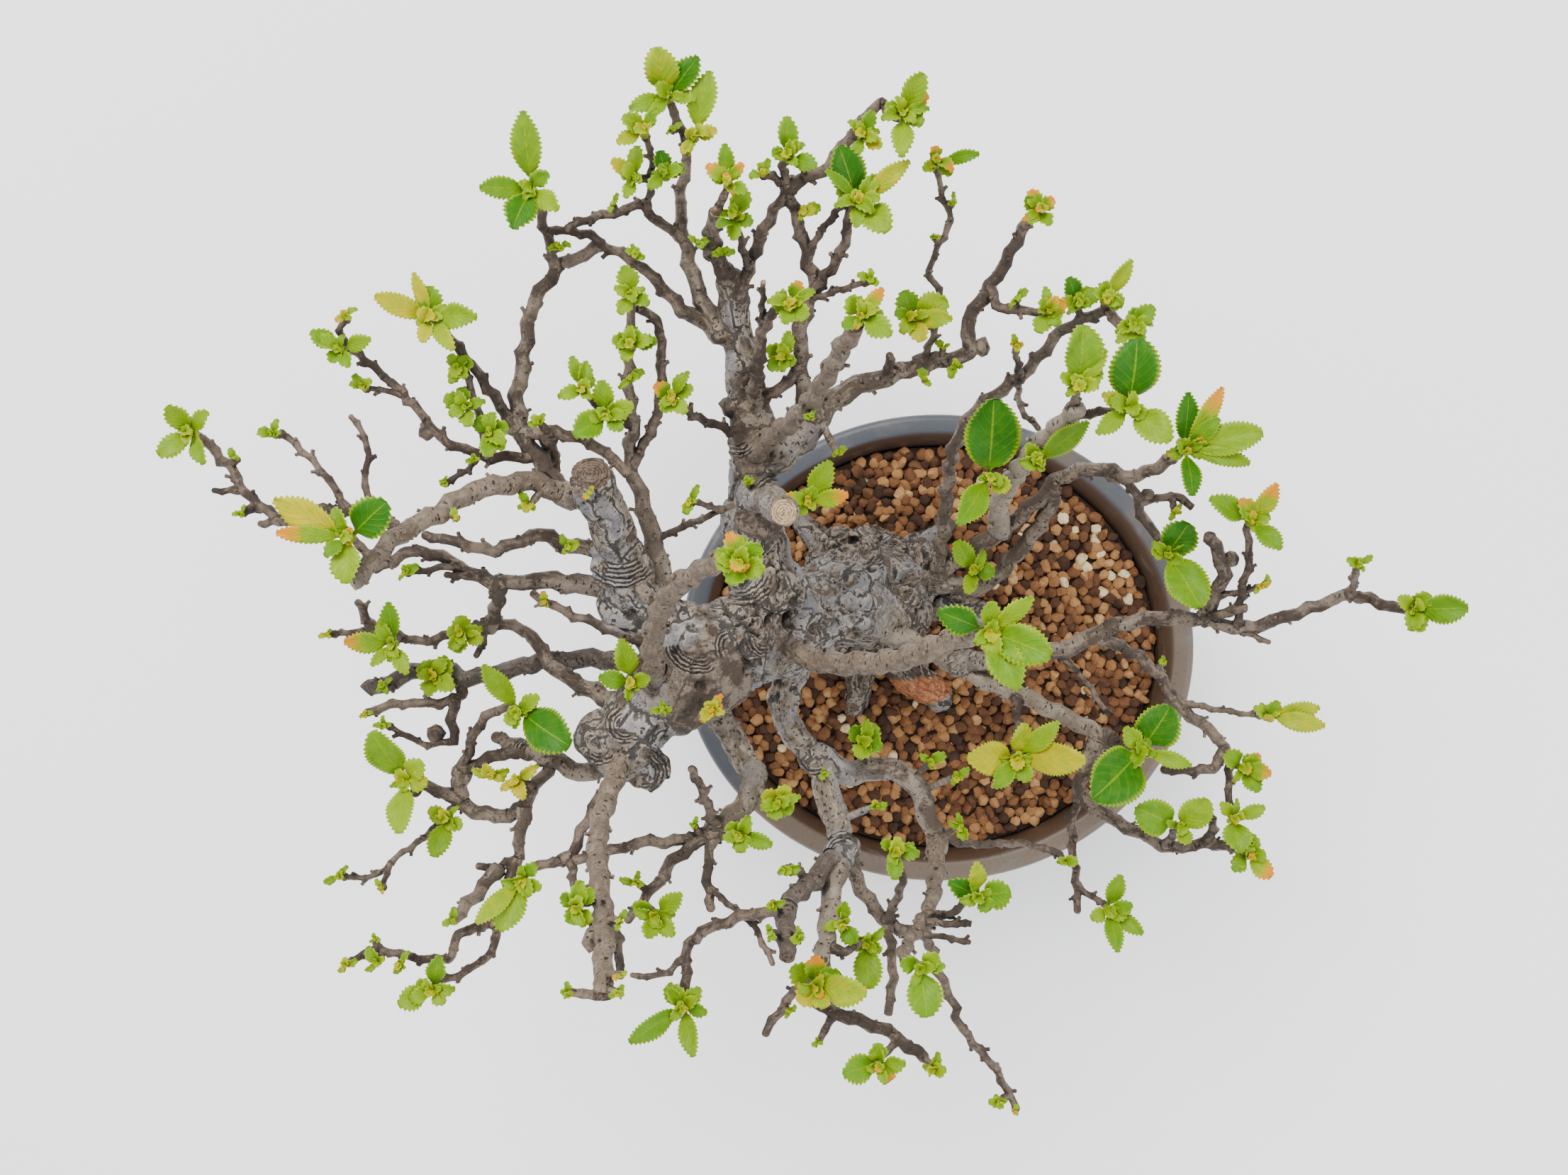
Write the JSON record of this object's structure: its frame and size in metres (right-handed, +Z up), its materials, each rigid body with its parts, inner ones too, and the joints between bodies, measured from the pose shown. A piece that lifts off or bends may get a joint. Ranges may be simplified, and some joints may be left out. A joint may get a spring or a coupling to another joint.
{
  "type": "chinese quince bonsai in a pot",
  "caption": "Leaning quince bonsai with radial surface roots, cut-back stubs and knobbly twigs in bud, growing in granular soil in a shallow oval glazed pot with a flat lip.",
  "frame": {"origin": "middle of the bounding box, on the ground under the pot's feet", "axes": "+Z up, +Y towards the top of the straight-down picture, +X to its right"},
  "size_m": [0.4122, 0.3326, 0.2951],
  "materials": {
    "pot_glaze": "semi-matte",
    "soil": "matte fired clay grains",
    "wood": "bark",
    "leaf": "living leaf, satin"
  },
  "bodies": {
    "root": {"pot": "pot_glaze", "soil": "soil", "tree": "wood", "sprout_close_brown_tip": "leaf", "sprout_close_east_tip": "leaf", "sprout_east_down_tip": "leaf", "sprout_east_fan_end": "leaf", "sprout_east_fan_low": "leaf", "sprout_east_fan_thin": "leaf", "sprout_east_giant": "leaf", "sprout_east_low_pair": "leaf", "sprout_east_low_tip": "leaf", "sprout_far_east_rise": "leaf", "sprout_far_east_tip": "leaf", "sprout_mid_north_fan": "leaf", "sprout_mid_north_top": "leaf", "sprout_mid_west_pair": "leaf", "sprout_north_arch_tip": "leaf", "sprout_north_cross": "leaf", "sprout_north_fan": "leaf", "sprout_north_knuckle": "leaf", "sprout_north_pencil": "leaf", "sprout_north_spur": "leaf", "sprout_north_stub_top": "leaf", "sprout_north_sweep_mid": "leaf", "sprout_north_sweep_tip": "leaf", "sprout_north_tip": "leaf", "sprout_north_tip_side": "leaf", "sprout_northeast_giant": "leaf", "sprout_northeast_inner": "leaf", "sprout_northeast_low": "leaf", "sprout_northeast_pale_end": "leaf", "sprout_northeast_pale_side": "leaf", "sprout_northeast_pale_up": "leaf", "sprout_northeast_spray": "leaf", "sprout_northwest_left": "leaf", "sprout_northwest_low_tip": "leaf", "sprout_northwest_mid": "leaf", "sprout_northwest_top": "leaf", "sprout_pot_fan": "leaf", "sprout_pot_green": "leaf", "sprout_pot_south_drop": "leaf", "sprout_pot_south_leaf": "leaf", "sprout_south_end": "leaf", "sprout_south_mid": "leaf", "sprout_southeast_crown": "leaf", "sprout_southeast_drop": "leaf", "sprout_southeast_far": "leaf", "sprout_southwest_end": "leaf", "sprout_southwest_hood": "leaf", "sprout_southwest_inner": "leaf", "sprout_southwest_left": "leaf", "sprout_southwest_low": "leaf", "sprout_southwest_pale": "leaf", "sprout_tall_brown_tip": "leaf", "sprout_tall_yellow": "leaf", "sprout_west_blunt": "leaf", "sprout_west_dark": "leaf", "sprout_west_far": "leaf", "sprout_west_low_end": "leaf"}
  },
  "joints": []
}
